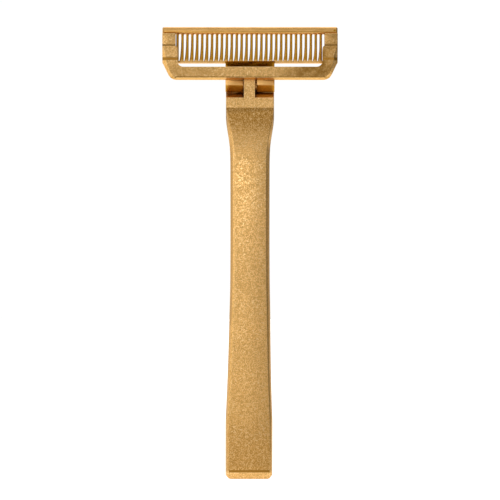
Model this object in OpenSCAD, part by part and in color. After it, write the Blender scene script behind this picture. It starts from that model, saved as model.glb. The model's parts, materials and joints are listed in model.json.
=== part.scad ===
// Single-edge safety razor with a combed guard and a sprung pivoting head.
// The razor stands on its foot: +Z runs up the handle, the shaving side faces -Y.

/* [Handle] */
// Height of the ridge where the grip ends and the neck begins
ridge_z = 95.3; // [90:0.1:100]
// Width of the foot
foot_w = 12.1; // [11:0.1:13]
// Width of the waist
waist_w = 10.1; // [9.4:0.1:10.8]
// Width of the neck
neck_w = 12.4; // [11.8:0.1:13]
// Thickness of the foot, front to back
foot_t = 10.4; // [9.6:0.1:11]
// Thickness of the waist, front to back
waist_t = 8.2; // [7.8:0.1:9]
// Thickness at the ridge, front to back
ridge_t = 12; // [11.4:0.1:12.6]

/* [Head] */
// Backward lean of the head at rest, in degrees
head_tilt = 8; // [4:1:12]
// Width of the head
head_w = 45; // [44:0.1:46]
// Height of the pivot pin above the foot
pin_z = 101.3; // [101:0.1:101.6]
// Number of slots in the comb
slot_count = 31; // [27:1:31]
// Sideways shift of the whole row of slots
slot_shift = -0.25; // [-0.3:0.05:0]
// Distance from one comb slot to the next
slot_pitch = 1.27; // [1.2:0.01:1.27]
// Width of a comb slot
slot_w = 0.65; // [0.5:0.05:0.7]
// Length of the blade that the head takes
blade_len = 38.1; // [37.8:0.1:38.2]
// Gap left for the blade between frame and guard
blade_gap = 0.35; // [0.3:0.05:0.4]

/* [Pivot] */
// Radius of the pivot pin
pin_r = 0.8; // [0.7:0.05:0.9]
// Radial clearance of the pin in the knuckles
pin_play = 0.04; // [0.02:0.01:0.06]
// Outer radius of the knuckles
knuckle_r = 1.7; // [1.6:0.05:1.7]
// Width of the post between the knuckles
post_w = 2.8; // [2.6:0.1:3]
// Mean side gap between the post and each knuckle
post_gap = 0.35; // [0.3:0.05:0.4]
// Sideways shift of the post between its knuckles
post_shift = -0.15; // [-0.2:0.05:0.2]

/* [Spring] */
// Thickness of the return spring
spring_t = 0.35; // [0.3:0.05:0.4]
// Width of the return spring
spring_w = 7.6; // [6:0.2:8]

/* [Hidden] */

// Small overlap of joined solids, and how far a cut runs past the face it opens.
eps = 0.01;
past = 1;
seam = 0.07;
round_fn = 64;
corner_steps = 6;

// Handle outline heights.
foot_straight_z = 14;
foot_side_z = 9;
waist_low_z = 51;
waist_high_z = 83.5;
neck_z = 92.4;
tbar_z = 97.9;
wall_z = 100.8;
wall_foot_z = 99.9;
wall_front_y = 0.3;
wall_back_y = 4.4;
foot_chamfer_z = 1.9;
foot_chamfer_y = 1;
foot_corner = 0.8;
taper_steps = 10;

// Head planes, measured from the pin's axis: front is negative.
post_front = -3;
post_back = -1;
plate_front = -2.2;
plate_back = -0.9;
bracket_front = -0.6;
bracket_back = 0.1;
frame_back = plate_front - blade_gap;
frame_front = -5;
pad_front = -5.5;
rail_front = -3.4;

// Head heights, measured up the head from the pin's axis.
post_top = 0.8;
post_foot = -4.6;
bar_low = 0.8;
bar_draft = 0.25;
bar_high = 3.84;
pad_low = 6.09;
pad_slope = 0.5;
arm_top = 9.33;
plate_low = 5.35;
slot_low = 5.8;
slot_high = 13;
rail_low = 12.78;
rail_high = 14.5;
stop_high = 12.46;
tongue_low = -0.41;
tongue_step = [2.2, 3.4];
knuckle_low = -1.9;
knuckle_flat = [-0.4, 0.3];
scoop_high = slot_low - 0.05;
scoop_low = scoop_high - (plate_back - plate_front);
bracket_high = slot_low - 0.05;

// Head widths from the middle.
tongue_x = 6.3;
arm_x = 18.6;
stop_x = blade_len / 2 + 0.05;
side_x = head_w / 2;
window_r = 1.5;
arm_r = 0.9;
// Back and front outline of the frame: corner reach, corner radius and shoulder point.
frame_corner = [21.2, 20.35];
corner_r = [2.4, 2];
frame_shoulder = [[side_x, plate_low], [21.5, pad_low]];
post_x = [post_shift - post_w / 2, post_shift + post_w / 2];
fork_x = post_w / 2 + post_gap;

// Pin axis: the post's front plane runs through the handle's ridge.
ridge_u = (ridge_z - pin_z + post_front * sin(head_tilt)) / cos(head_tilt);
pin_y = -ridge_t / 2 - post_front * cos(head_tilt) - ridge_u * sin(head_tilt);
tbar_y = -ridge_t / 2 + (tbar_z - ridge_z) * tan(head_tilt);
lug_r = 2.2;
lug_back = 2;
fork_top = 2.5;
washer_play = 0.05;
washer_r = knuckle_r - 0.2;
pin_inset = 0.2;

// Neck channel for the spring, at the back of the handle.
channel_y = 2.2;
channel_w = 8.4;
channel_z = 84.6;
channel_size = [channel_w, 10, 20];
spring_low = 85.2;
spring_bend_z = 101.4;
spring_tip = [-1.38, 105.4];
clamp_t = 1.5;
clamp_h = 9.2;
clamp_screw_z = [87.4, 92.2];

// Screws and rivets.
screw_r = 0.7;
screw_head_r = 1.25;
screw_head_h = 0.6;
screw_len = 3.1;
screw_play = 0.05;
head_screw_x = 20.8;
head_screw_u = [7.5, 11.1];
clamp_screw_r = 0.8;
clamp_head_r = 1.5;
clamp_head_h = 0.8;
clamp_hole_len = 5;
clamp_screw_len = clamp_hole_len - 0.2;
rivet_r = 0.5;
rivet_len = 1.6;
rivet_x = 3.4;
leaf_recess = 0.3;
leaf_play = [0.3, 0.15];
leaf_t = 0.2;
leaf_u = [1.35, 3.35];
leaf_mid = (leaf_u[0] + leaf_u[1]) / 2;
leaf_x = 16.5;

// Half width or half thickness between two sizes, eased in at the waist.
function taper(from, to, t) = from + (to - from) * pow(t, 1.15);
function side_run(from, to, z0, z1) =
    [for (i = [0:taper_steps]) let (t = i / taper_steps)
        [taper(from / 2, to / 2, t), z0 + (z1 - z0) * t]];
function reversed(list) = [for (i = [len(list) - 1:-1:0]) list[i]];
function mirrored(list) = [for (p = list) [-p[0], p[1]]];

// Right-hand edge of the handle seen from the front, from foot to top.
right_edge = concat(
    [[foot_w / 2 - foot_corner, 0], [foot_w / 2, foot_corner]],
    reversed(side_run(waist_w, foot_w, waist_low_z, foot_straight_z)),
    side_run(waist_w, neck_w, waist_high_z, neck_z),
    [[neck_w / 2, wall_z]]);

// Back edge of the handle seen from the side, from foot to ridge.
back_edge = concat(
    [[foot_t / 2 - foot_chamfer_y, 0], [foot_t / 2, foot_chamfer_z]],
    reversed(side_run(waist_t, foot_t, waist_low_z, foot_side_z)),
    side_run(waist_t, ridge_t, waist_high_z, ridge_z));

// Children drawn in the head's own frame: X across, Y in depth, Z up the head.
module in_head() {
    translate([0, pin_y, pin_z]) rotate([-head_tilt, 0, 0]) children();
}

// A block across the head between two planes and two heights.
module head_block(x0, x1, front, back, low, high) {
    translate([x0, front, low]) cube([x1 - x0, back - front, high - low]);
}

// An outline in X and Z, given a depth from one plane to another.
module head_plate(front, back) {
    translate([0, back, 0]) rotate([90, 0, 0]) linear_extrude(back - front) children();
}

// A round bar along X, centred on the middle.
module bar_x(r, length) {
    rotate([0, 90, 0]) cylinder(r = r, h = length, center = true, $fn = round_fn);
}

// A countersunk screw along -Y with its head's face at the origin.
module countersunk(r, head_r, head_h, length) {
    rotate([90, 0, 0]) {
        cylinder(r1 = head_r, r2 = r, h = head_h, $fn = round_fn);
        cylinder(r = r, h = length, $fn = round_fn);
    }
}

module slotted_screw(r, head_r, head_h, length) {
    driver = 0.3;
    difference() {
        countersunk(r, head_r, head_h, length);
        translate([-head_r, -driver, -driver / 2]) cube([2 * head_r, 2 * driver, driver]);
    }
}

module at_head_screws(heights) {
    for (side = [-1, 1], u = heights)
        translate([side * head_screw_x, plate_back, u]) children();
}

module at_clamp_screws() {
    for (z = clamp_screw_z)
        translate([0, channel_y + spring_t + clamp_t, z]) children();
}

module handle_blank() {
    depth = 30;
    front = concat(right_edge, reversed(mirrored(right_edge)));
    side = concat(
        back_edge,
        [[wall_back_y, wall_z], [wall_front_y, wall_z], [wall_front_y, wall_foot_z],
         [tbar_y, tbar_z]],
        reversed(mirrored(back_edge)));
    intersection() {
        translate([0, depth / 2, 0]) rotate([90, 0, 0]) linear_extrude(depth) polygon(front);
        translate([-depth / 2, 0, 0]) rotate([90, 0, 90]) linear_extrude(depth) polygon(side);
    }
}

module handle() color("#c99a55") {
    difference() {
        union() {
            handle_blank();
            in_head() {
                head_block(post_x[0], post_x[1], post_front, lug_back, post_foot, 0);
                head_block(post_x[0], post_x[1], post_front, post_back, -eps, post_top);
                translate([post_shift, 0, 0]) bar_x(lug_r, post_w);
            }
        }
        in_head() bar_x(pin_r, neck_w);
        translate([-channel_w / 2, channel_y, channel_z]) cube(channel_size);
        at_clamp_screws()
            rotate([90, 0, 0]) cylinder(r = clamp_screw_r, h = clamp_hole_len, $fn = round_fn);
    }
}

// Outer outline of the head frame at one depth, with rounded lower corners.
module frame_outline(low, corner_x, corner_r, shoulder) {
    first = -90;
    last = -25;
    arc = [for (i = [0:corner_steps]) let (a = first + (last - first) * i / corner_steps)
        [corner_x - corner_r + corner_r * cos(a), low + corner_r + corner_r * sin(a)]];
    right = concat(arc, [shoulder, [side_x, arm_top]]);
    polygon(concat(right, reversed(mirrored(right))));
}

// The opening of the head frame: rounded lower corners, and arms rounded off at the top.
module frame_window() {
    inner = arm_x - window_r;
    translate([-arm_x, bar_high + window_r]) square([2 * arm_x, arm_top]);
    translate([-inner, bar_high]) square([2 * inner, arm_top]);
    for (side = [-1, 1]) {
        translate([side * inner, bar_high + window_r]) circle(window_r, $fn = round_fn);
        difference() {
            translate([side * arm_x - arm_r, arm_top - arm_r]) square(2 * arm_r);
            translate([side * (arm_x + arm_r), arm_top - arm_r])
                circle(arm_r, $fn = round_fn);
        }
    }
}

module front_frame() color("#c2944f") in_head() difference() {
    skin = 0.4;
    union() {
        hull() {
            head_plate(frame_back - skin, frame_back)
                frame_outline(bar_low, frame_corner[0], corner_r[0], frame_shoulder[0]);
            head_plate(pad_front, pad_front + skin)
                frame_outline(bar_low + bar_draft, frame_corner[1], corner_r[1], frame_shoulder[1]);
        }
        for (side = [-1, 1])
            head_block(side > 0 ? stop_x : -side_x, side > 0 ? side_x : -stop_x,
                       frame_back - eps, plate_front, plate_low + skin, arm_top);
    }
    head_plate(pad_front - past, frame_back + past) frame_window();
    // The bar is set back from the pads by a sloped step.
    rotate([90, 0, 90]) linear_extrude(2 * head_w, center = true)
        polygon([[pad_front - past, -past], [frame_front, -past],
                 [frame_front, pad_low - pad_slope], [pad_front, pad_low],
                 [pad_front - past, pad_low]]);
    head_block(-leaf_x - leaf_play[0], leaf_x + leaf_play[0],
               frame_back - leaf_recess, frame_back + past,
               leaf_u[0] - leaf_play[1], leaf_u[1] + leaf_play[1]);
    at_head_screws([head_screw_u[0]])
        rotate([90, 0, 0]) cylinder(r = screw_r, h = screw_len, $fn = round_fn);
    for (side = [-1, 1])
        translate([side * rivet_x, frame_back, leaf_mid])
            rotate([90, 0, 0]) cylinder(r = rivet_r, h = rivet_len + eps, $fn = round_fn);
}

module comb_slot() {
    r = slot_w / 2;
    head_plate(plate_front - eps, plate_back + past) {
        translate([-r, slot_low + r]) square([slot_w, slot_high - slot_low - slot_w]);
        translate([0, slot_low + r]) circle(r, $fn = round_fn);
        translate([0, slot_high - r]) circle(r, $fn = round_fn);
    }
}

module comb_guard() color("#d2a45c") in_head() difference() {
    union() {
        head_block(-side_x, side_x, plate_front, plate_back, plate_low, rail_high);
        head_block(-side_x, side_x, rail_front, plate_back, rail_low, rail_high);
        head_block(-tongue_x, tongue_x, plate_front, plate_back, scoop_low, slot_low);
    }
    for (i = [0:slot_count - 1])
        translate([slot_shift + (i - (slot_count - 1) / 2) * slot_pitch, 0, 0]) comb_slot();
    // The lower rail slopes back to the hinge bracket.
    rotate([90, 0, 90]) linear_extrude(2 * tongue_x, center = true)
        polygon([[plate_front - past, scoop_high], [plate_front, scoop_high],
                 [plate_back, scoop_low], [plate_back, scoop_low - past],
                 [plate_front - past, scoop_low - past]]);
    at_head_screws(head_screw_u)
        countersunk(screw_r + screw_play, screw_head_r + screw_play, screw_head_h, screw_len);
}

// Tongue brazed behind the comb's lower rail, ending in a knuckle on each side of the post.
module hinge_bracket() color("#c99a55") in_head() difference() {
    union() {
        rotate([90, 0, 90]) linear_extrude(2 * tongue_x, center = true)
            polygon([[knuckle_flat[1], knuckle_low], [knuckle_flat[0], knuckle_low],
                     [plate_front, tongue_low], [plate_front, tongue_step[0]],
                     [bracket_front, tongue_step[1]],
                     [bracket_front, scoop_low - (bracket_front - plate_back)],
                     [plate_back, scoop_low], [plate_back, bracket_high],
                     [bracket_back, bracket_high], [bracket_back, 0], [knuckle_flat[1], 0]]);
        bar_x(knuckle_r, 2 * tongue_x);
    }
    head_block(-fork_x, fork_x, frame_front, -frame_front, post_foot, fork_top);
    bar_x(pin_r + pin_play, 2 * side_x);
}

module blade_stop(side) color("#c2944f") in_head() difference() {
    head_block(side > 0 ? stop_x : -side_x, side > 0 ? side_x : -stop_x,
               pad_front, plate_front, arm_top + seam, stop_high);
    at_head_screws([head_screw_u[1]])
        rotate([90, 0, 0]) cylinder(r = screw_r, h = screw_len, $fn = round_fn);
}

module blade_stop_left() blade_stop(-1);

module blade_stop_right() blade_stop(1);

module head_screws() color("#8d8a84") in_head() at_head_screws(head_screw_u)
    slotted_screw(screw_r, screw_head_r, screw_head_h, screw_len);

module hinge_pin() color("#b9b4aa") in_head() bar_x(pin_r, 2 * (tongue_x - pin_inset));

// Each washer fills the side gap between the post and a knuckle but for its end play.
module hinge_washers() color("#b9b4aa") in_head()
    for (gap = [[-fork_x, post_x[0]], [post_x[1], fork_x]])
        translate([(gap[0] + gap[1]) / 2, 0, 0]) difference() {
            bar_x(washer_r, gap[1] - gap[0] - washer_play);
            bar_x(pin_r + pin_play, fork_x);
        }

module return_spring() color("#a9a9ac") {
    bend = spring_t * 0.8;
    difference() {
        translate([-spring_w / 2, 0, 0]) rotate([90, 0, 90]) linear_extrude(spring_w)
            polygon([[channel_y, spring_low], [channel_y + spring_t, spring_low],
                     [channel_y + spring_t, spring_bend_z + bend],
                     spring_tip + [bend, bend], spring_tip,
                     [channel_y, spring_bend_z]]);
        at_clamp_screws()
            rotate([90, 0, 0]) cylinder(r = clamp_screw_r, h = clamp_hole_len, $fn = round_fn);
    }
}

module spring_clamp() color("#c99a55") difference() {
    translate([-spring_w / 2, channel_y + spring_t, spring_low])
        cube([spring_w, clamp_t, clamp_h]);
    at_clamp_screws()
        countersunk(clamp_screw_r + screw_play, clamp_head_r + screw_play, clamp_head_h,
                    clamp_hole_len);
}

module clamp_screws() color("#8d8a84") at_clamp_screws()
    slotted_screw(clamp_screw_r, clamp_head_r, clamp_head_h, clamp_screw_len);

module blade_spring() color("#a9a9ac") in_head() difference() {
    back = frame_back - leaf_recess + leaf_t;
    head_block(-leaf_x, leaf_x, frame_back - leaf_recess, back, leaf_u[0], leaf_u[1]);
    for (side = [-1, 1])
        translate([side * rivet_x, back + past, leaf_mid])
            rotate([90, 0, 0]) cylinder(r = rivet_r, h = rivet_len + past, $fn = round_fn);
}

module blade_spring_rivets() color("#8d8a84") in_head()
    for (side = [-1, 1])
        translate([side * rivet_x, frame_back, leaf_mid])
            rotate([90, 0, 0]) cylinder(r = rivet_r, h = rivet_len, $fn = round_fn);

handle();
front_frame();
comb_guard();
blade_stop_left();
blade_stop_right();
hinge_bracket();
head_screws();
hinge_pin();
hinge_washers();
return_spring();
spring_clamp();
clamp_screws();
blade_spring();
blade_spring_rivets();
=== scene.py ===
"""Single-edge safety razor in raw brass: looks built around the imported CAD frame.

Lengths are in metres, in the row frame: +Z up the handle, -Y towards the shaving side.
Pieces of the head are built in the head's own frame: X across, Y in depth, Z up the head,
from the pivot's axis.
"""
import math

import bmesh
import bpy
from mathutils import Matrix, Vector
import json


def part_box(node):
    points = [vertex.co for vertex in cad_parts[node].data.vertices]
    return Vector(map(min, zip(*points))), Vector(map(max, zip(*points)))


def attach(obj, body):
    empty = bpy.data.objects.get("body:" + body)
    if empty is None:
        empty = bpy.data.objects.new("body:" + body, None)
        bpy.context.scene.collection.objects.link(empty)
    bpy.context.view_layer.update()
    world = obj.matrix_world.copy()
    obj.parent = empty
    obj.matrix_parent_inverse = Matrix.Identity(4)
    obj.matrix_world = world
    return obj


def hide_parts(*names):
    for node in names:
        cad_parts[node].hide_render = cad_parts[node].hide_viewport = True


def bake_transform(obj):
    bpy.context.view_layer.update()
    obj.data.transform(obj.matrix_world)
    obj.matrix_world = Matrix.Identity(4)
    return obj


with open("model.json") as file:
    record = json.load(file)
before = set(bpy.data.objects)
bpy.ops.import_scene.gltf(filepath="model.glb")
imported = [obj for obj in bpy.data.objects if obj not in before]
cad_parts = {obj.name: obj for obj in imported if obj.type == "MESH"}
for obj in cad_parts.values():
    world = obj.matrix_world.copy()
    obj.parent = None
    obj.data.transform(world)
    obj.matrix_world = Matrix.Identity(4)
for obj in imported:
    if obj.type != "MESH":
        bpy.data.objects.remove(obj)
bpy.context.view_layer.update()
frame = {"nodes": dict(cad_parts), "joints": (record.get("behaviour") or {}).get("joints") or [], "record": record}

MM = 0.001

# ---------------------------------------------------------------- the head's frame

PIVOT = Vector(frame["joints"][0]["pos_m"])
MOUNTS = {m["name"]: m for m in frame["record"]["mounts"]}
UP_HEAD = Vector(MOUNTS["blade_slot"]["axis"]).normalized()
LEAN = math.atan2(UP_HEAD.y, UP_HEAD.z)
HEAD = Matrix.Translation(PIVOT) @ Matrix.Rotation(-LEAN, 4, "X")


def local_box(node):
    """Lowest and highest corner of a CAD node, in the head's own frame."""
    to_local = HEAD.inverted()
    points = [to_local @ v.co for v in frame["nodes"][node].data.vertices]
    low = Vector([min(p[i] for p in points) for i in range(3)])
    high = Vector([max(p[i] for p in points) for i in range(3)])
    return low, high


# ---------------------------------------------------------------- mesh helpers

def new_object(name, mesh):
    """A new object in the scene that shows a mesh."""
    obj = bpy.data.objects.new(name, mesh)
    bpy.context.scene.collection.objects.link(obj)
    return obj


def object_from(name, build, space=None):
    """A mesh object from a function that fills a bmesh, placed by a matrix."""
    bm = bmesh.new()
    build(bm)
    bmesh.ops.recalc_face_normals(bm, faces=bm.faces)
    if space is not None:
        bmesh.ops.transform(bm, matrix=space, verts=bm.verts)
    mesh = bpy.data.meshes.new(name)
    bm.to_mesh(mesh)
    bm.free()
    return new_object(name, mesh)


def apply_modifiers(obj):
    """Makes what the modifiers show into the object's own mesh."""
    depsgraph = bpy.context.evaluated_depsgraph_get()
    mesh = bpy.data.meshes.new_from_object(obj.evaluated_get(depsgraph))
    old = obj.data
    obj.modifiers.clear()
    obj.data = mesh
    bpy.data.meshes.remove(old)


def cut_away(obj, tool):
    """Cuts the shape of tool out of obj, and deletes tool."""
    cut = obj.modifiers.new("cut", "BOOLEAN")
    cut.operation = "DIFFERENCE"
    cut.solver = "EXACT"
    cut.object = tool
    apply_modifiers(obj)
    bpy.data.objects.remove(tool)


def clean(obj, flat_deg=0.4):
    """Welds a mesh and joins its coplanar triangles into whole faces."""
    bm = bmesh.new()
    bm.from_mesh(obj.data)
    bmesh.ops.remove_doubles(bm, verts=bm.verts, dist=0.002 * MM)
    bmesh.ops.dissolve_limit(bm, angle_limit=math.radians(flat_deg), verts=bm.verts,
                             edges=bm.edges)
    bm.to_mesh(obj.data)
    bm.free()


def soften(obj, width, segments=3, sharp_deg=25, crease_deg=35):
    """Rounds every sharp edge of a piece and shades it smooth."""
    bevel = obj.modifiers.new("edges", "BEVEL")
    bevel.width = width
    bevel.segments = segments
    bevel.limit_method = "ANGLE"
    bevel.angle_limit = math.radians(sharp_deg)
    bevel.harden_normals = True
    bevel.use_clamp_overlap = True
    obj.data.shade_smooth()
    apply_modifiers(obj)
    obj.data.set_sharp_from_angle(angle=math.radians(crease_deg))


def block(name, low, high):
    """A box between its lowest and highest corner."""
    size = [h - l for l, h in zip(low, high)]
    middle = [(l + h) / 2 for l, h in zip(low, high)]
    place = Matrix.Translation(middle) @ Matrix.Diagonal((*size, 1))
    return object_from(name, lambda bm: bmesh.ops.create_cube(bm, size=1, matrix=place))


def prism(name, outline, x0, x1, space=None):
    """A closed outline in Y and Z, drawn along X from x0 to x1."""
    def build(bm):
        left = [bm.verts.new((x0, y, z)) for y, z in outline]
        right = [bm.verts.new((x1, y, z)) for y, z in outline]
        bm.faces.new(left)
        bm.faces.new(list(reversed(right)))
        for i in range(len(outline)):
            j = (i + 1) % len(outline)
            bm.faces.new((left[i], left[j], right[j], right[i]))
    return object_from(name, build, space)


def loft(name, rings):
    """A closed skin over rings of points, flat at both ends."""
    def build(bm):
        loops = [[bm.verts.new(p) for p in ring] for ring in rings]
        for lower, upper in zip(loops, loops[1:]):
            for i in range(len(lower)):
                j = (i + 1) % len(lower)
                bm.faces.new((lower[i], lower[j], upper[j], upper[i]))
        bm.faces.new(loops[0])
        bm.faces.new(list(reversed(loops[-1])))
    return object_from(name, build)


def cad_copy(node, name):
    """A new object with a CAD node's shape, cleaned for rounding."""
    obj = new_object(name, frame["nodes"][node].data.copy())
    obj.data.materials.clear()
    clean(obj)
    return obj


def body_of_node(node):
    """The moving body that a CAD node belongs to."""
    bodies = frame["record"]["behaviour"]["bodies"]
    return next(name for name, nodes in bodies.items() if node in nodes)


def settle(obj, node, material, bend=None):
    """Gives a finished piece its material and puts it in its CAD node's place.

    A piece given a bend keeps its place in the row frame and joins no moving body; the bend's two points are not
    used.
    """
    obj.data.materials.clear()
    obj.data.materials.append(material)
    if bend:
        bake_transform(obj)
    else:
        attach(obj, body_of_node(node))
    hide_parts(node)


def profile(knots, z):
    """Smooth curve through (height, value) knots that never swings past them."""
    xs = [k[0] for k in knots]
    ys = [k[1] for k in knots]
    steps = [(y1 - y0) / (x1 - x0) for x0, x1, y0, y1 in zip(xs, xs[1:], ys, ys[1:])]
    slopes = [steps[0]]
    for before, after in zip(steps, steps[1:]):
        both = before * after
        slopes.append(2 * both / (before + after) if both > 0 else 0.0)
    slopes.append(steps[-1])
    z = min(max(z, xs[0]), xs[-1])
    i = min(sum(x <= z for x in xs[1:]), len(steps) - 1)
    span = xs[i + 1] - xs[i]
    t = (z - xs[i]) / span
    return ((1 + 2 * t) * (1 - t) ** 2 * ys[i] + t * (1 - t) ** 2 * span * slopes[i]
            + t * t * (3 - 2 * t) * ys[i + 1] + t * t * (t - 1) * span * slopes[i + 1])


# ---------------------------------------------------------------- materials

class Nodes:
    """Short calls for building a node tree."""

    def __init__(self, tree):
        self.tree = tree
        tree.nodes.clear()

    def add(self, kind, **settings):
        made = self.tree.nodes.new(kind)
        for key, value in settings.items():
            setattr(made, key, value)
        return made

    def link(self, source, target):
        self.tree.links.new(source, target)

    def feed(self, value, socket):
        """Links a node's output into a socket, or sets a plain number or colour there."""
        if isinstance(value, bpy.types.NodeSocket):
            self.link(value, socket)
        elif isinstance(value, tuple):
            socket.default_value = (*value, 1)
        else:
            socket.default_value = value

    def math(self, operation, a, b=None):
        made = self.add("ShaderNodeMath", operation=operation)
        self.feed(a, made.inputs[0])
        if b is not None:
            self.feed(b, made.inputs[1])
        return made.outputs[0]

    def noise(self, vector, size, detail=2.0):
        """Noise whose features are about size metres across."""
        made = self.add("ShaderNodeTexNoise")
        made.inputs["Scale"].default_value = 1 / size
        made.inputs["Detail"].default_value = detail
        made.inputs["Roughness"].default_value = 0.6
        self.link(vector, made.inputs["Vector"])
        return made.outputs["Fac"]

    def span(self, value, low, high, to_low=0.0, to_high=1.0):
        """A smooth step from to_low to to_high, while value goes from low to high."""
        made = self.add("ShaderNodeMapRange", interpolation_type="SMOOTHSTEP")
        for key, number in (("From Min", low), ("From Max", high),
                            ("To Min", to_low), ("To Max", to_high)):
            made.inputs[key].default_value = number
        self.link(value, made.inputs["Value"])
        return made.outputs["Result"]

    def band(self, value, centre, reach, core, strength):
        """A stripe around centre: full as far as core, and gone at reach."""
        away = self.math("ABSOLUTE", self.math("SUBTRACT", value, centre))
        return self.span(away, reach, core, 0.0, strength)

    def blend(self, fac, a, b):
        """A number that goes from a to b."""
        made = self.add("ShaderNodeMix", data_type="FLOAT")
        for value, socket in zip((fac, a, b), (made.inputs[i] for i in (0, 2, 3))):
            self.feed(value, socket)
        return made.outputs[0]

    def mix(self, fac, a, b):
        """A colour that goes from a to b."""
        made = self.add("ShaderNodeMix", data_type="RGBA")
        for value, socket in zip((fac, a, b), (made.inputs[i] for i in (0, 6, 7))):
            self.feed(value, socket)
        return made.outputs[2]

    def split(self, vector):
        """The X, Y and Z of a vector."""
        made = self.add("ShaderNodeSeparateXYZ")
        self.link(vector, made.inputs[0])
        return made.outputs

    def normal(self):
        """The surface's normal in world axes."""
        return self.add("ShaderNodeNewGeometry").outputs["Normal"]


BRASS = (0.80, 0.445, 0.145)
BRASS_PALE = (0.93, 0.65, 0.32)
BRASS_OLIVE = (0.50, 0.305, 0.10)
BRASS_DEEP = (0.26, 0.12, 0.015)
BRASS_AMBER = (0.46, 0.215, 0.012)
STEEL = (0.40, 0.39, 0.38)
STEEL_PALE = (0.52, 0.51, 0.50)
STEEL_DARK = (0.22, 0.21, 0.20)
GRAZING_TINT = (0.96, 0.78, 0.52)

HOLLOW_REACH = 1.7 * MM
EDGE_REACH = 0.22 * MM
AO_SAMPLES = 6


def metal(name, base, pale, dark, grain, speckle, rough, bump, brushed=0.0, shade_and_stain_mask=None,
          shade_and_stain_colour=BRASS_DEEP):
    """Bare metal: mottled colour, fine grain, worn pale edges, hollows darkened by patina and painted shade, and
    each piece's own mask of painted shade and stains.
    """
    material = bpy.data.materials.new(name)
    material.use_nodes = True
    n = Nodes(material.node_tree)
    out = n.add("ShaderNodeOutputMaterial")
    shader = n.add("ShaderNodeBsdfPrincipled")
    n.link(shader.outputs[0], out.inputs[0])
    shader.inputs["Metallic"].default_value = 1.0
    n.feed(GRAZING_TINT, shader.inputs["Specular Tint"])
    place = n.add("ShaderNodeTexCoord").outputs["Object"]
    if brushed:
        stretch = n.add("ShaderNodeMapping")
        stretch.inputs["Scale"].default_value = (1 / brushed, 1, 1)
        n.link(place, stretch.inputs["Vector"])
        grain_place = stretch.outputs[0]
    else:
        grain_place = place
    fine = n.noise(grain_place, grain)
    middle = n.noise(grain_place, 2.6 * grain)
    broad = n.noise(place, 9 * MM)

    mottle = n.math("ADD", n.math("MULTIPLY", fine, 0.72), n.math("MULTIPLY", middle, 0.28))
    dull = n.mix(n.span(mottle, 0.46, 0.58, 0.0, speckle), base, dark)
    bright = n.mix(n.span(mottle, 0.48, 0.38, 0.0, speckle), dull, pale)
    toned = n.mix(n.span(broad, 0.35, 0.7, 0.0, 0.22), bright, dark)
    # Painted shade from the piece's own mask darkens the colour here; on the comb the mask also holds one real
    # pit.
    shade_and_stain_amount = shade_and_stain_mask(n, place, mottle) if shade_and_stain_mask else 0.0
    toned = n.mix(shade_and_stain_amount, toned, shade_and_stain_colour)

    # Patina in the hollows, and painted shade where the hollows lie in shadow: ambient occlusion darkens the
    # colour.
    cavity = n.add("ShaderNodeAmbientOcclusion", samples=AO_SAMPLES)
    cavity.inputs["Distance"].default_value = HOLLOW_REACH
    hollow = n.math("MULTIPLY", n.span(cavity.outputs["AO"], 0.80, 0.30, 0.0, 0.50),
                    n.span(n.split(place)["Z"], 1 * MM, 4 * MM))
    aged_and_shaded = n.mix(hollow, toned, BRASS_DEEP if base == BRASS else STEEL_DARK)
    rounded = n.add("ShaderNodeBevel", samples=AO_SAMPLES)
    rounded.inputs["Radius"].default_value = EDGE_REACH
    turn = n.add("ShaderNodeVectorMath", operation="DOT_PRODUCT")
    n.link(rounded.outputs[0], turn.inputs[0])
    n.link(n.normal(), turn.inputs[1])
    rubbed = n.math("MULTIPLY", n.span(turn.outputs["Value"], 0.995, 0.92, 0.0, 0.9),
                    n.span(middle, 0.35, 0.55, 0.55, 1.0))
    rubbed = n.math("MULTIPLY", rubbed, n.math("SUBTRACT", 1.0, shade_and_stain_amount))
    worn = n.mix(rubbed, aged_and_shaded, pale)
    n.link(worn, shader.inputs["Base Color"])

    n.link(n.span(mottle, 0.35, 0.65, rough - 0.07, rough + 0.09), shader.inputs["Roughness"])
    relief = n.add("ShaderNodeBump")
    relief.inputs["Strength"].default_value = 1.0
    relief.inputs["Distance"].default_value = bump
    n.link(mottle, relief.inputs["Height"])
    n.link(relief.outputs[0], shader.inputs["Normal"])
    return material


def height_of(depth, up):
    """Height in the row frame of a point of the head, given in mm deep and mm up."""
    return (HEAD @ Vector((0, depth * MM, up * MM))).z


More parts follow.
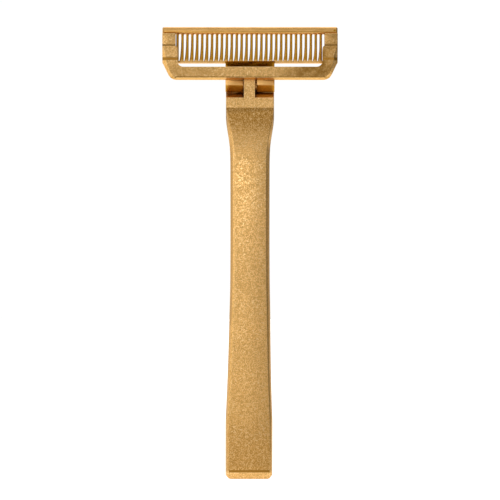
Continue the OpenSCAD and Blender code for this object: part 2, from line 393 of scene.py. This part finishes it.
def comb_painted_shade_and_pit(n, place, mottle):
    """Painted shade on the bars between the comb's slots, kept lighter on their left facets as if lit from the
    left; painted shade on the tongue below them; a painted shadow line under the rail; and one pit.
    """
    x, _, z = n.split(place)
    wide = n.math("ABSOLUTE", x)
    low, high, rail_foot = (height_of(-2.2, up) for up in (6.1, 12.75, 13.35))
    # Painted shade on the bars between the slots, kept light on their left-facing facets.
    slots = n.math("MULTIPLY", n.span(z, low - 0.2 * MM, low + 0.2 * MM),
                   n.span(z, high + 0.1 * MM, high - 0.1 * MM))
    slots = n.math("MULTIPLY", slots, n.span(wide, 19.3 * MM, 18.9 * MM))
    slots = n.math("MULTIPLY", slots, n.span(n.split(n.normal())["X"], -0.6, -0.3, 0.1, 0.95))
    # Painted shade on the tongue, in the recess below the slots.
    tongue = n.math("MULTIPLY", n.span(z, low - 0.1 * MM, low - 0.4 * MM),
                    n.span(wide, 6.5 * MM, 6.3 * MM))
    # Painted shadow line under the rail, fading onto the rail above it.
    rail = n.math("MAXIMUM", n.band(z, rail_foot, 0.38 * MM, 0.12 * MM, 0.5),
                  n.span(z, rail_foot, rail_foot + 0.3 * MM, 0.0, 0.12))
    pit = n.add("ShaderNodeVectorMath", operation="DISTANCE")
    n.link(place, pit.inputs[0])
    pit.inputs[1].default_value = HEAD @ Vector((21.75 * MM, -3.4 * MM, 13.55 * MM))
    total = n.span(pit.outputs["Value"], 0.42 * MM, 0.16 * MM)
    for part in (slots, tongue, rail):
        total = n.math("MAXIMUM", total, part)
    return total


def knuckle_painted_shade(n, place, mottle):
    """Painted shade low on the hinge's knuckle, where it turns against the grip."""
    return n.math("MULTIPLY", n.span(n.split(place)["Z"], 101.4 * MM, 100.9 * MM, 0.0, 0.85),
                  n.span(n.split(n.normal())["Y"], -0.1, -0.4))


def grip_painted_shade(n, place, mottle):
    """Painted shade: speckled on the slope of the neck, a slow darkening downwards, and a painted shadow line
    along the foot's front edge.
    """
    z = n.split(place)["Z"]
    # Painted shade on the slope of the neck below the ridge, speckled by the grain.
    neck = n.math("MULTIPLY", n.span(z, 86 * MM, 92 * MM), n.span(z, 95.4 * MM, 95.1 * MM))
    neck = n.math("MULTIPLY", neck, n.span(mottle, 0.38, 0.60, 0.42, 0.92))
    # Painted shade that darkens the grip slowly downwards, and more near the foot.
    foot = n.math("ADD", n.span(z, 80 * MM, 10 * MM, 0.0, 0.25),
                  n.span(z, 24 * MM, 2 * MM, 0.0, 0.30))
    foot = n.math("MULTIPLY", foot, n.span(z, 1.5 * MM, 2.2 * MM))
    foot = n.math("MULTIPLY", foot, n.span(mottle, 0.42, 0.58, 0.75, 1.35))
    # Painted shadow line along the lower edge of the foot's front face.
    foot_edge_shadow = n.math("MULTIPLY", n.band(z, 2.05 * MM, 0.46 * MM, 0.20 * MM, 0.95),
                  n.span(n.split(n.normal())["Y"], -0.9, -0.98))
    return n.math("MAXIMUM", n.math("ADD", neck, foot), foot_edge_shadow)


# Painted shadow lines across the head's front, in its seams and under its steps: depth, height and half width, in
# mm of the head's frame.
SHADOW_LINES = [(-5.5, 9.36, 0.24), (-5.5, 5.84, 0.55), (-5.0, 1.15, 0.13)]


def head_painted_shade(n, place, mottle):
    """Painted shade towards the head's ends, most on the right, and painted shadow lines in the seams and under
    the steps of its front.
    """
    x, _, z = n.split(place)
    bar_top = height_of(-5, 3.84)
    stops = height_of(-5.5, 9.36)
    # Painted shade on the right end of the head, less above the stops, and a little on the left end of the bar.
    right = n.math("MULTIPLY", n.span(x, 5 * MM, 15 * MM, 0.0, 0.72),
                   n.span(z, stops, stops + 0.6 * MM, 1.0, 0.5))
    left = n.math("MULTIPLY", n.span(x, -4 * MM, -14 * MM, 0.0, 0.22),
                  n.span(z, bar_top + 2 * MM, bar_top))
    patch = n.span(n.noise(place, 2.5 * MM, detail=3.0), 0.35, 0.65, 0.6, 1.3)
    total = n.math("MULTIPLY", n.math("ADD", left, right), patch)
    total = n.math("MULTIPLY", total, n.span(n.split(n.normal())["Y"], -0.5, -0.8))
    # Painted shadow lines in the seams and under the steps of the head's front.
    for depth, up, width in SHADOW_LINES:
        line = n.band(z, height_of(depth, up), width * MM, 0.4 * width * MM, 0.95)
        total = n.math("MAXIMUM", total, line)
    return total


def make_materials():
    """Every metal of the razor, by what its surface is."""
    brass = (BRASS, BRASS_PALE, BRASS_OLIVE)
    steel = (STEEL, STEEL_PALE, STEEL_DARK)
    cast = dict(grain=0.25 * MM, speckle=0.85, rough=0.34, bump=0.009 * MM)
    milled = dict(grain=0.16 * MM, speckle=0.30, rough=0.34, bump=0.006 * MM, brushed=14.0)
    turned = dict(grain=0.12 * MM, speckle=0.35, rough=0.30, bump=0.004 * MM)
    rolled = dict(grain=0.10 * MM, speckle=0.30, rough=0.28, bump=0.003 * MM, brushed=18.0)
    return {
        "cast": metal("cast_brass", *brass, shade_and_stain_mask=grip_painted_shade, **cast),
        "cast_head": metal("cast_brass_head", *brass, shade_and_stain_mask=head_painted_shade, **cast),
        "comb": metal("comb_brass", *brass, shade_and_stain_mask=comb_painted_shade_and_pit, shade_and_stain_colour=BRASS_AMBER, **milled),
        "smooth": metal("machined_brass", *brass, **milled),
        "knuckle": metal("knuckle_brass", *brass, shade_and_stain_mask=knuckle_painted_shade, shade_and_stain_colour=BRASS_AMBER,
                         **milled),
        "screw": metal("turned_brass", *brass, **turned),
        "steel": metal("spring_steel", *steel, **rolled),
    }


# ---------------------------------------------------------------- the handle

HANDLE_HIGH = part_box("handle")[1]

# Heights on the neck, in mm: its ridge, the foot of the windows beside the post, the foot of
# the wall behind them, and the top of that wall.
RIDGE = 95.3
TBAR = 97.9
WALL_FOOT = 99.9
WALL_TOP = 100.8
# How far the back comes forward for each mm above the ridge.
BACK_SLOPE = 0.29


def handle_sizes():
    """Half width and thickness, edge inset, chamfer share and centre, by height in mm."""
    half_w = HANDLE_HIGH[0] / MM
    half_t = HANDLE_HIGH[1] / MM
    width = [(0, half_w - 0.95), (0.9, half_w - 0.17), (14, half_w - 0.15),
             (19, half_w - 0.33), (25, half_w - 0.55), (34, half_w - 0.78),
             (42, half_w - 0.94), (51, half_w - 1.12), (62, half_w - 1.17),
             (80, half_w - 1.15), (84, half_w - 1.08), (86, half_w - 0.92),
             (92.0, half_w - 0.05), (93, half_w), (110, half_w)]
    depth = [(0, half_t - 1.75), (1.9, half_t - 0.8), (9, half_t - 0.8),
             (20, half_t - 1.18), (34, half_t - 1.6), (51, half_t - 1.9),
             (79, half_t - 1.9), (83, half_t - 1.82), (86, half_t - 1.66), (89, half_t - 1.25),
             (92, half_t - 0.7), (95.3, half_t)]
    inset = [(0, 0.78), (9, 0.82), (51, 1.07), (80, 1.07), (84.6, 1.02), (87, 1.0),
             (89.7, 0.95), (92.3, 0.62), (94.4, 0.20), (95.3, 0.12)]
    chamfer = [(0, 0.48), (80, 0.48), (89, 0.25), (110, 0.25)]
    centre = [(0, -0.28), (14, -0.25), (51, 0.0), (110, 0.0)]
    return width, depth, inset, chamfer, centre


def grip_ring(z, width, depth, inset, chamfer, centre, neck_front):
    """Outline of the grip at one height: flat faces, cut corners and drafted sides."""
    w = profile(width, z)
    front = -profile(depth, z)
    back = profile(depth, z)
    if z > RIDGE:
        front = neck_front(z)
        back = profile(depth, RIDGE) - BACK_SLOPE * (z - RIDGE)
    edge = profile(inset, z)
    flat = profile(chamfer, z)
    shift = profile(centre, z)
    middle = (front + back) / 2
    ring = []
    for side, share in ((1, 0.88), (-1, 1.12)):
        e = share * edge
        cut = flat * e
        half = [(w - e, front), (w - e + cut, front + cut), (w, middle),
                (w - e + cut, back - cut), (w - e, back)]
        points = [(shift + side * x, y) for x, y in half]
        ring += points if side > 0 else list(reversed(points))
    return [Vector((x * MM, y * MM, z * MM)) for x, y in ring]


def make_handle(material):
    """The grip: a skin over rings, cut for the windows, the post and the spring's channel."""
    width, depth, inset, chamfer, centre = handle_sizes()
    slope = math.tan(LEAN)
    ridge_front = -profile(depth, RIDGE)

    def neck_front(z):
        return ridge_front + slope * (z - RIDGE)

    heights = [0, 0.35, 0.9, 1.4, 1.9, 3.5, 6, 8.6, 9.2]
    heights += [11 + 2 * i for i in range(41)]
    heights += [92, 92.6, 93.5, 94.5, RIDGE, 96, TBAR + 0.6, WALL_TOP, 104.2]
    rings = [grip_ring(z, width, depth, inset, chamfer, centre, neck_front) for z in heights]
    handle = loft("grip", rings)

    past = 9
    top = 110
    post = (-1.55 * MM, 1.25 * MM)
    post_gap = 0.3 * MM
    wall_front = 0.3
    window = [(-past, TBAR), (neck_front(TBAR), TBAR), (wall_front, WALL_FOOT),
              (wall_front, top), (-past, top)]
    window = [(y * MM, z * MM) for y, z in window]
    for xs in ((-past * MM, post[0]), (post[1], past * MM)):
        cut_away(handle, prism("cut", window, *xs))
    crown = block("cut", (-past * MM, (wall_front - 0.4) * MM, WALL_TOP * MM),
                  (past * MM, past * MM, top * MM))
    cut_away(handle, crown)
    cut_away(handle, post_cutter(post[0] - post_gap, post[1] + post_gap))
    channel_half, channel_front, channel_low = 4.2 * MM, 2.2 * MM, 84.6 * MM
    channel = block("cut", (-channel_half, channel_front, channel_low),
                    (channel_half, past * MM, top * MM))
    cut_away(handle, channel)
    soften(handle, 0.13 * MM, sharp_deg=28, crease_deg=11)
    settle(handle, "handle", material)


def post_cutter(x0, x1):
    """What is cut away above and behind the post, leaving its round lug."""
    lug = 2.2
    shoulder, shoulder_end = 0.8, -2.1
    low, front, back, top = -0.8, -6, 4.5, 9
    arc = [(lug * math.sin(math.radians(a)), lug * math.cos(math.radians(a)))
           for a in range(-68, 91, 6)]
    outline = [(front, shoulder), (shoulder_end, shoulder)] + arc
    outline += [(lug, low), (back, low), (back, top), (front, top)]
    return prism("cut", [(w * MM, u * MM) for w, u in outline], x0, x1, HEAD)


# ---------------------------------------------------------------- the head

def front_edges(bm, pick):
    """Front edges of the head frame: its outer sides, its foot or the arms' inner edges."""
    facing = HEAD.to_3x3() @ Vector((0, -1, 0))
    centre = HEAD @ Vector((0, -5 * MM, 8 * MM))
    to_head = HEAD.inverted()
    chosen = []
    for edge in bm.edges:
        if len(edge.link_faces) != 2:
            continue
        fronts = [f for f in edge.link_faces if f.normal.dot(facing) > 0.97]
        sides = [f for f in edge.link_faces if f.normal.dot(facing) < 0.75]
        if len(fronts) != 1 or len(sides) != 1:
            continue
        middle = (edge.verts[0].co + edge.verts[1].co) / 2
        height = (to_head @ middle).z
        if height > 9.2 * MM:
            continue
        inner = abs(middle.x) < 19 * MM and height > 3 * MM
        outer = not inner and (middle - centre).dot(sides[0].normal) > 0
        sideways = abs(sides[0].normal.x) > 0.3
        if {"sides": outer and sideways, "foot": outer and not sideways,
                "arms": inner and sideways and height > 6.2 * MM}[pick]:
            chosen.append(edge)
    return chosen


def make_frame(material):
    """The head's frame, with a facet down its sides and rounded foot and arms."""
    frame_body = cad_copy("front_frame", "blade_frame")
    bm = bmesh.new()
    bm.from_mesh(frame_body.data)
    for pick, width, segments in (("sides", 0.30 * MM, 1), ("foot", 0.24 * MM, 4),
                                  ("arms", 0.24 * MM, 3)):
        bm.normal_update()
        bmesh.ops.bevel(bm, geom=front_edges(bm, pick), offset=width, offset_type="WIDTH",
                        segments=segments, affect="EDGES", profile=0.5, clamp_overlap=True)
    bm.to_mesh(frame_body.data)
    bm.free()
    soften(frame_body, 0.09 * MM, 2, sharp_deg=20, crease_deg=14)
    settle(frame_body, "front_frame", material)


def rounded_copy(node, name, width, material, segments=3):
    """A piece that is a CAD node's own shape with its edges rounded."""
    obj = cad_copy(node, name)
    soften(obj, width, segments)
    settle(obj, node, material)


def cut_facets(bm, front, high, width):
    """Cuts a facet along the left side of every bar between the comb's slots."""
    chosen = []
    for edge in bm.edges:
        if len(edge.link_faces) != 2:
            continue
        middle = (edge.verts[0].co + edge.verts[1].co) / 2
        if abs(middle.y - front) > 0.01 * MM or middle.z > high:
            continue
        facing = [f for f in edge.link_faces if f.normal.y < -0.97]
        walls = [f for f in edge.link_faces if f.normal.x < -0.5]
        if len(facing) == 1 and len(walls) == 1 and abs(middle.x) < 20 * MM:
            chosen.append(edge)
    bmesh.ops.bevel(bm, geom=chosen, offset=width, offset_type="OFFSET", segments=1,
                    affect="EDGES", profile=0.5, clamp_overlap=False)


def round_rail(bm, low, high, width, segments):
    """Rounds the front and top edges of the comb's upper rail; lengths in the head's frame."""
    near = 0.01 * MM
    chosen = []
    for edge in bm.edges:
        if all(v.co.y < low.y + near for v in edge.verts):
            chosen.append(edge)
        elif all(v.co.z > high.z - near for v in edge.verts):
            chosen.append(edge)
    sharp = [e for e in chosen if len(e.link_faces) == 2 and e.calc_face_angle() > 0.5]
    bmesh.ops.bevel(bm, geom=sharp, offset=width, offset_type="OFFSET", segments=segments,
                    affect="EDGES", profile=0.5, clamp_overlap=True)


def make_comb(material):
    """The guard plate: its slots keep a straight left wall and close in at the foot."""
    low, high = local_box("comb_guard")
    comb = cad_copy("comb_guard", "comb")
    # The CAD model's slots: how many, how far apart, how far the row is off centre, half width.
    count, pitch, shift, half = 31, 1.27 * MM, -0.25 * MM, 0.325 * MM
    slot_low, slot_high = 5.8 * MM, 13.0 * MM
    near = 0.01 * MM
    # How far a slot reaches to its left, and to its right by height above its foot, in mm.
    left = 0.28 * MM
    right = [(0, -0.10), (0.4, -0.04), (0.8, 0.04), (1.5, 0.14), (2.5, 0.22), (3.8, 0.32),
             (7.2, 0.34)]
    bm = bmesh.new()
    bm.from_mesh(comb.data)
    bmesh.ops.transform(bm, matrix=HEAD.inverted(), verts=bm.verts)
    for height, _ in right[1:-1]:
        bmesh.ops.bisect_plane(bm, geom=bm.verts[:] + bm.edges[:] + bm.faces[:],
                               plane_co=(0, 0, slot_low + height * MM), plane_no=(0, 0, 1))
    first = shift - (count - 1) / 2 * pitch
    for vert in bm.verts:
        if not slot_low - near < vert.co.z < slot_high + near:
            continue
        slot = round((vert.co.x - first) / pitch)
        across = vert.co.x - (first + slot * pitch)
        if not 0 <= slot < count or abs(across) > half + near:
            continue
        span = left + profile(right, (vert.co.z - slot_low) / MM) * MM
        vert.co.x = first + slot * pitch - left + (across + half) / (2 * half) * span
    round_rail(bm, low, high, 0.42 * MM, 4)
    bm.normal_update()
    cut_facets(bm, -2.2 * MM, slot_high - 0.4 * MM, 0.20 * MM)
    bmesh.ops.transform(bm, matrix=HEAD, verts=bm.verts)
    bm.to_mesh(comb.data)
    bm.free()
    soften(comb, 0.08 * MM, 2)
    settle(comb, "comb_guard", material)


def make_spring(material):
    """The return spring: a flat strip that rises from its clamp and bends forward.

    The grip clamps it and its tip presses on the head.
    """
    low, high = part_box("return_spring")
    thick = 0.35 * MM
    foot = Vector((0, high[1] - thick / 2, low[2]))
    bend = Vector((0, high[1] - thick / 2, 101.2 * MM))
    tip = Vector((0, low[1] + 0.28 * MM, high[2] - 0.45 * MM))
    middle = [foot]
    steps = 14
    start = bend.lerp(foot, 0.16)
    end = bend.lerp(tip, 0.55)
    for i in range(steps + 1):
        t = i / steps
        middle.append(start.lerp(bend, t).lerp(bend.lerp(end, t), t))
    middle += [end.lerp(tip, i / 6) for i in range(1, 7)]
    middle.append(tip + Vector((0, 0.12, 0.34)) * MM)
    outline = []
    for side in (-1, 1):
        edge = []
        for i, point in enumerate(middle):
            along = (middle[min(i + 1, len(middle) - 1)] - middle[max(i - 1, 0)]).normalized()
            across = Vector((0, along.z, -along.y))
            edge.append(point + across * side * thick / 2)
        outline += edge if side < 0 else list(reversed(edge))
    spring = prism("neck_spring", [(p.y, p.z) for p in outline], low[0], high[0])
    soften(spring, 0.08 * MM, 2)
    settle(spring, "return_spring", material, bend=(start, tip))


# ---------------------------------------------------------------- stage, light and camera

# Brightness of the surroundings by compass angle, in degrees from the front: low down, high up.
AROUND = [(-180, 0.36, 0.40), (-157, 0.28, 0.30), (-143, 1.20, 0.60), (-90, 1.50, 0.85),
          (-40, 0.24, 0.40), (0, 0.24, 0.40), (40, 0.24, 0.52), (90, 0.19, 0.08),
          (125, 0.16, 0.08), (141, 0.60, 0.30), (157, 0.16, 0.20), (180, 0.36, 0.40)]
OVERHEAD = 1.9
# Glow of the floor around the razor, and further off in front, to the right and to the left.
FLOOR_GLOW = (0.88, 0.13, 0.10, 0.89)
PANELS = [("front_top", (-0.05, -0.62, 0.27), (0.60, 0.26), 0.30),
          ("front_left", (-0.15, -0.45, 0.125), (0.20, 0.07), 0.165)]


def make_stage():
    """A pale floor, white around and behind the razor and dimmer further off."""
    floor = block("floor", (-3, -3, -0.01), (3, 3, 0))
    material = bpy.data.materials.new("floor")
    material.use_nodes = True
    n = Nodes(material.node_tree)
    out = n.add("ShaderNodeOutputMaterial")
    shader = n.add("ShaderNodeBsdfPrincipled")
    shader.inputs["Roughness"].default_value = 0.9
    shader.inputs["Emission Color"].default_value = (1, 1, 1, 1)
    x, y, _ = n.split(n.add("ShaderNodeTexCoord").outputs["Object"])
    spread = n.math("MULTIPLY", n.math("MAXIMUM", y, 0.0), 0.055)
    front = n.span(y, -0.13, -0.30)
    right = n.span(n.math("SUBTRACT", x, n.math("MULTIPLY", spread, 8)), 0.085, 0.20)
    left = n.span(n.math("SUBTRACT", n.math("MULTIPLY", x, -1), spread), 0.085, 0.20)
    near, in_front, on_right, on_left = FLOOR_GLOW
    glow = n.blend(left, near, on_left)
    glow = n.blend(right, glow, on_right)
    glow = n.blend(front, glow, in_front)
    n.link(glow, shader.inputs["Emission Strength"])
    far = n.math("MAXIMUM", n.math("MAXIMUM", front, right), n.math("MULTIPLY", left, 0.4))
    n.link(n.mix(far, (0.5, 0.5, 0.5), (0.26, 0.26, 0.26)), shader.inputs["Base Color"])
    n.link(shader.outputs[0], out.inputs[0])
    floor.data.materials.append(material)


def make_world():
    """Soft surroundings that vary with direction, and pure white straight behind."""
    world = bpy.data.worlds.new("studio")
    bpy.context.scene.world = world
    world.use_nodes = True
    n = Nodes(world.node_tree)
    out = n.add("ShaderNodeOutputWorld")
    shader = n.add("ShaderNodeBackground")
    shader.inputs["Color"].default_value = (1, 1, 1, 1)
    n.link(shader.outputs[0], out.inputs[0])
    x, y, z = n.split(n.add("ShaderNodeTexCoord").outputs["Generated"])
    turn = n.math("ARCTAN2", x, n.math("MULTIPLY", y, -1))
    place = n.math("ADD", n.math("MULTIPLY", turn, 0.5 / math.pi), 0.5)
    bands = []
    for band in (1, 2):
        ramp = n.add("ShaderNodeValToRGB")
        n.link(place, ramp.inputs[0])
        stops = ramp.color_ramp.elements
        for row in AROUND[1:-1]:
            stops.new(row[0] / 360 + 0.5)
        for stop, row in zip(stops, AROUND):
            level = row[band] / 2
            stop.color = (level, level, level, 1)
        bands.append(n.math("MULTIPLY", ramp.outputs[0], 2))
    soft = n.blend(n.span(z, 0.70, 0.90), n.blend(n.span(z, 0.15, 0.40), *bands), OVERHEAD)
    level = n.blend(n.span(y, 0.985, 0.996), soft, 1.02)
    n.link(level, shader.inputs["Strength"])


def area_light(name, place, aim, size, power):
    """A soft rectangular light at place, turned towards aim."""
    data = bpy.data.lights.new(name, "AREA")
    data.shape = "RECTANGLE"
    data.size, data.size_y = size
    data.energy = power
    light = bpy.data.objects.new(name, data)
    bpy.context.scene.collection.objects.link(light)
    light.location = place
    light.rotation_euler = (Vector(aim) - Vector(place)).to_track_quat("-Z", "Y").to_euler()


def make_lights():
    """The soft panels in front of the razor, turned towards its middle."""
    aim = (0, 0, 0.075)
    for name, place, size, power in PANELS:
        area_light(name, place, aim, size, power)


def make_camera():
    """A long lens level with the razor's middle; the frame is 128.8 mm high there."""
    reach = 1.3
    seen = 0.1288
    sensor = 36
    data = bpy.data.cameras.new("camera")
    data.sensor_width = sensor
    data.lens = sensor * reach / seen
    data.clip_end = 20
    camera = bpy.data.objects.new("camera", data)
    bpy.context.scene.collection.objects.link(camera)
    camera.location = (0, -reach, 0.0588)
    camera.rotation_euler = (math.radians(90), 0, 0)
    bpy.context.scene.camera = camera


# ---------------------------------------------------------------- the razor

def main():
    """Builds every piece, then the stage, the light and the camera."""
    bpy.context.scene.view_settings.view_transform = "Standard"
    materials = make_materials()
    make_handle(materials["cast"])
    make_frame(materials["cast_head"])
    rounded_copy("blade_stop_left", "stop_left", 0.10 * MM, materials["cast_head"])
    rounded_copy("blade_stop_right", "stop_right", 0.10 * MM, materials["cast_head"])
    make_comb(materials["comb"])
    rounded_copy("hinge_bracket", "bracket", 0.10 * MM, materials["knuckle"])
    rounded_copy("spring_clamp", "clamp_plate", 0.15 * MM, materials["smooth"])
    rounded_copy("head_screws", "screws_head", 0.05 * MM, materials["screw"], 2)
    rounded_copy("clamp_screws", "screws_clamp", 0.06 * MM, materials["screw"], 2)
    rounded_copy("blade_spring_rivets", "rivets", 0.05 * MM, materials["screw"], 2)
    rounded_copy("hinge_washers", "washers", 0.04 * MM, materials["screw"], 2)
    rounded_copy("hinge_pin", "pin", 0.10 * MM, materials["steel"], 2)
    rounded_copy("blade_spring", "leaf", 0.04 * MM, materials["steel"], 2)
    make_spring(materials["steel"])
    make_stage()
    make_world()
    make_lights()
    make_camera()


main()

import json
